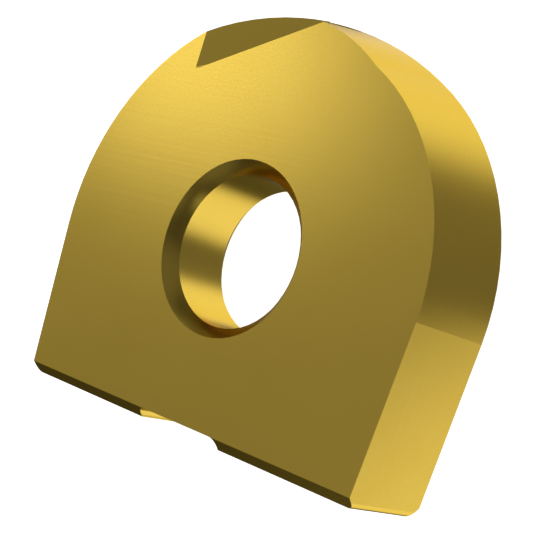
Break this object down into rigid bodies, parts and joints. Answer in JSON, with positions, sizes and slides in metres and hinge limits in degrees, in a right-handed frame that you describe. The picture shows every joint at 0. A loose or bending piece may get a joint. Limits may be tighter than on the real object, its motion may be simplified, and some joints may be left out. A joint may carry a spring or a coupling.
{
  "type": "ball nose carbide insert",
  "caption": "Flat coated carbide milling insert with a round nose on a ball, relieved flanks, a gash at the tip, a countersunk screw hole and a notched, chamfered base.",
  "frame": {"origin": "centre of the ball that both cutting edges lie on, which is the middle of the screw hole", "axes": "+Y towards the tip, +X across the plate, +Z along the screw, square to the seat faces"},
  "size_m": [0.0158, 0.014, 0.003],
  "materials": {
    "coated_carbide": "satin gold-coloured nitride coating on ground cemented carbide"
  },
  "bodies": {
    "root": {"ball_nose_insert": "coated_carbide"}
  },
  "joints": []
}
